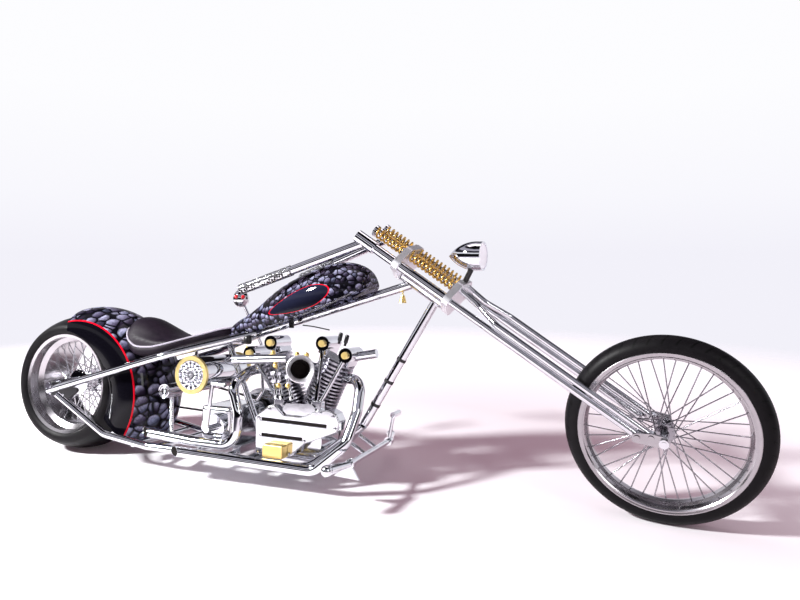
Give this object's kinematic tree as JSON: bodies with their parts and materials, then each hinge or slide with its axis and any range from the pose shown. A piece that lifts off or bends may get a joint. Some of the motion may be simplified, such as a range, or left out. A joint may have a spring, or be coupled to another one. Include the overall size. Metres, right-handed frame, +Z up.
{
  "type": "chopper motorcycle",
  "caption": "Long-fork rigid chopper motorcycle with sprung girder fork, wide rear tyre, V-twin engine, teardrop tank and saddle; wheels, steering and side stand move",
  "frame": {"origin": "on the floor under the middle of the bike as it stands on its side stand", "axes": "+X forward to the front wheel, +Y to the rider's left, +Z up"},
  "size_m": [3.3797, 0.7854, 1.1051],
  "materials": {
    "aluminium": "polished cast aluminium",
    "belt": "toothed belt rubber",
    "black_steel": "satin black",
    "brass": "polished brass",
    "chrome": "bright chrome plate",
    "engine_fins": "bead-blasted fins",
    "glass": "clear lamp glass",
    "gold_plate": "gold plate",
    "paint": "gloss black with a cobbled violet-grey pattern and red lines",
    "seat_leather": "dark aubergine leather with pale piping",
    "tyre": "smooth black tyre rubber"
  },
  "bodies": {
    "chassis": {"frame_neck": "chrome", "frame_backbone": "chrome", "frame_downtube": "chrome", "frame_upper_rail_left": "chrome", "frame_lower_rail_left": "chrome", "frame_upper_rail_right": "chrome", "frame_lower_rail_right": "chrome", "axle_plates": "black_steel", "rear_fender": "paint", "frame_braces": "chrome", "rear_axle": "chrome", "fuel_tank": "paint", "fuel_cap": "chrome", "seat": "seat_leather", "crankcase": "aluminium", "cylinders": "engine_fins", "cylinder_heads": "engine_fins", "rocker_boxes": "aluminium", "rocker_nuts": "gold_plate", "cam_cover": "aluminium", "oil_pump": "brass", "pushrod_tubes": "chrome", "carburettor": "aluminium", "velocity_stack": "chrome", "exhaust_front": "chrome", "exhaust_rear": "chrome", "gearbox": "aluminium", "kick_lever": "chrome", "drive_belt": "belt", "primary_cover": "aluminium", "oil_tank": "chrome", "oil_tank_caps": "gold_plate", "oil_filter": "chrome", "forward_controls": "chrome", "shift_lever": "chrome", "bell": "brass", "fuel_tap": "black_steel", "stand_bracket": "chrome"},
    "rear_wheel": {"rear_tyre": "tyre", "rear_rim": "chrome", "rear_hub_spokes": "chrome", "rear_pulley": "chrome"},
    "front_wheel": {"front_tyre": "tyre", "front_rim": "chrome", "front_hub_spokes": "chrome"},
    "steering": {"fork_trees": "chrome", "fork_rear_legs": "chrome", "fork_front_legs": "chrome", "fork_springs": "gold_plate", "fork_rockers": "chrome", "front_axle": "chrome", "headlight_shell": "chrome", "headlight_lens": "glass", "headlight_bracket": "black_steel", "handlebars": "chrome", "grips": "chrome"},
    "side_stand": {"side_stand": "chrome"}
  },
  "joints": [
    {"name": "rear_wheel_spin", "type": "hinge", "parent": "chassis", "child": "rear_wheel", "pos_m": [-1.3569, -0.00094, 0.33249], "axis": [0, 0.9945, -0.1045], "continuous": true},
    {"name": "steering", "type": "hinge", "parent": "chassis", "child": "steering", "pos_m": [0.4331, 0.05153, 0.83174], "axis": [-0.8368, 0.0572, 0.5446], "range_deg": [-7.8, 32.2]},
    {"name": "front_wheel_spin", "type": "hinge", "parent": "steering", "child": "front_wheel", "pos_m": [1.34194, -0.01873, 0.34918], "axis": [0.1157, 0.9905, 0.0737], "continuous": true},
    {"name": "side_stand_fold", "type": "hinge", "parent": "chassis", "child": "side_stand", "pos_m": [-0.2069, 0.17089, 0.054], "axis": [0.1083, 0.2075, 0.9722], "range_deg": [0, 118.19]}
  ]
}
